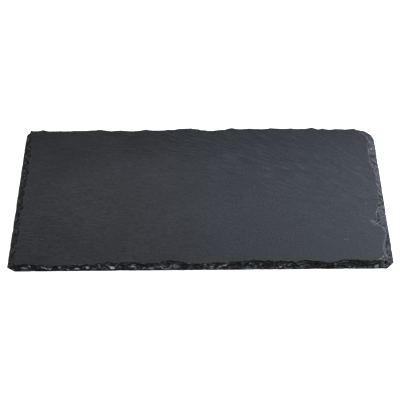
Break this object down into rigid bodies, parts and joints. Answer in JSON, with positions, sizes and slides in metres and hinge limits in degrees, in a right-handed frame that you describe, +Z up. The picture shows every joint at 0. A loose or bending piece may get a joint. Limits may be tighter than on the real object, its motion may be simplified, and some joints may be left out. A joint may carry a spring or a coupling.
{
  "type": "slate serving slab",
  "caption": "Flat rectangular slab of natural slate for serving or display, with hand-dressed chipped edges that slope out to the underside.",
  "frame": {"origin": "centre of the underside, on the surface that the slab rests on", "axes": "+X along the length, +Y across the width towards the back edge, +Z up out of the top face"},
  "size_m": [0.325, 0.176, 0.007],
  "materials": {
    "slate": "matt, riven face with chipped edges"
  },
  "bodies": {
    "root": {"slab": "slate"}
  },
  "joints": []
}
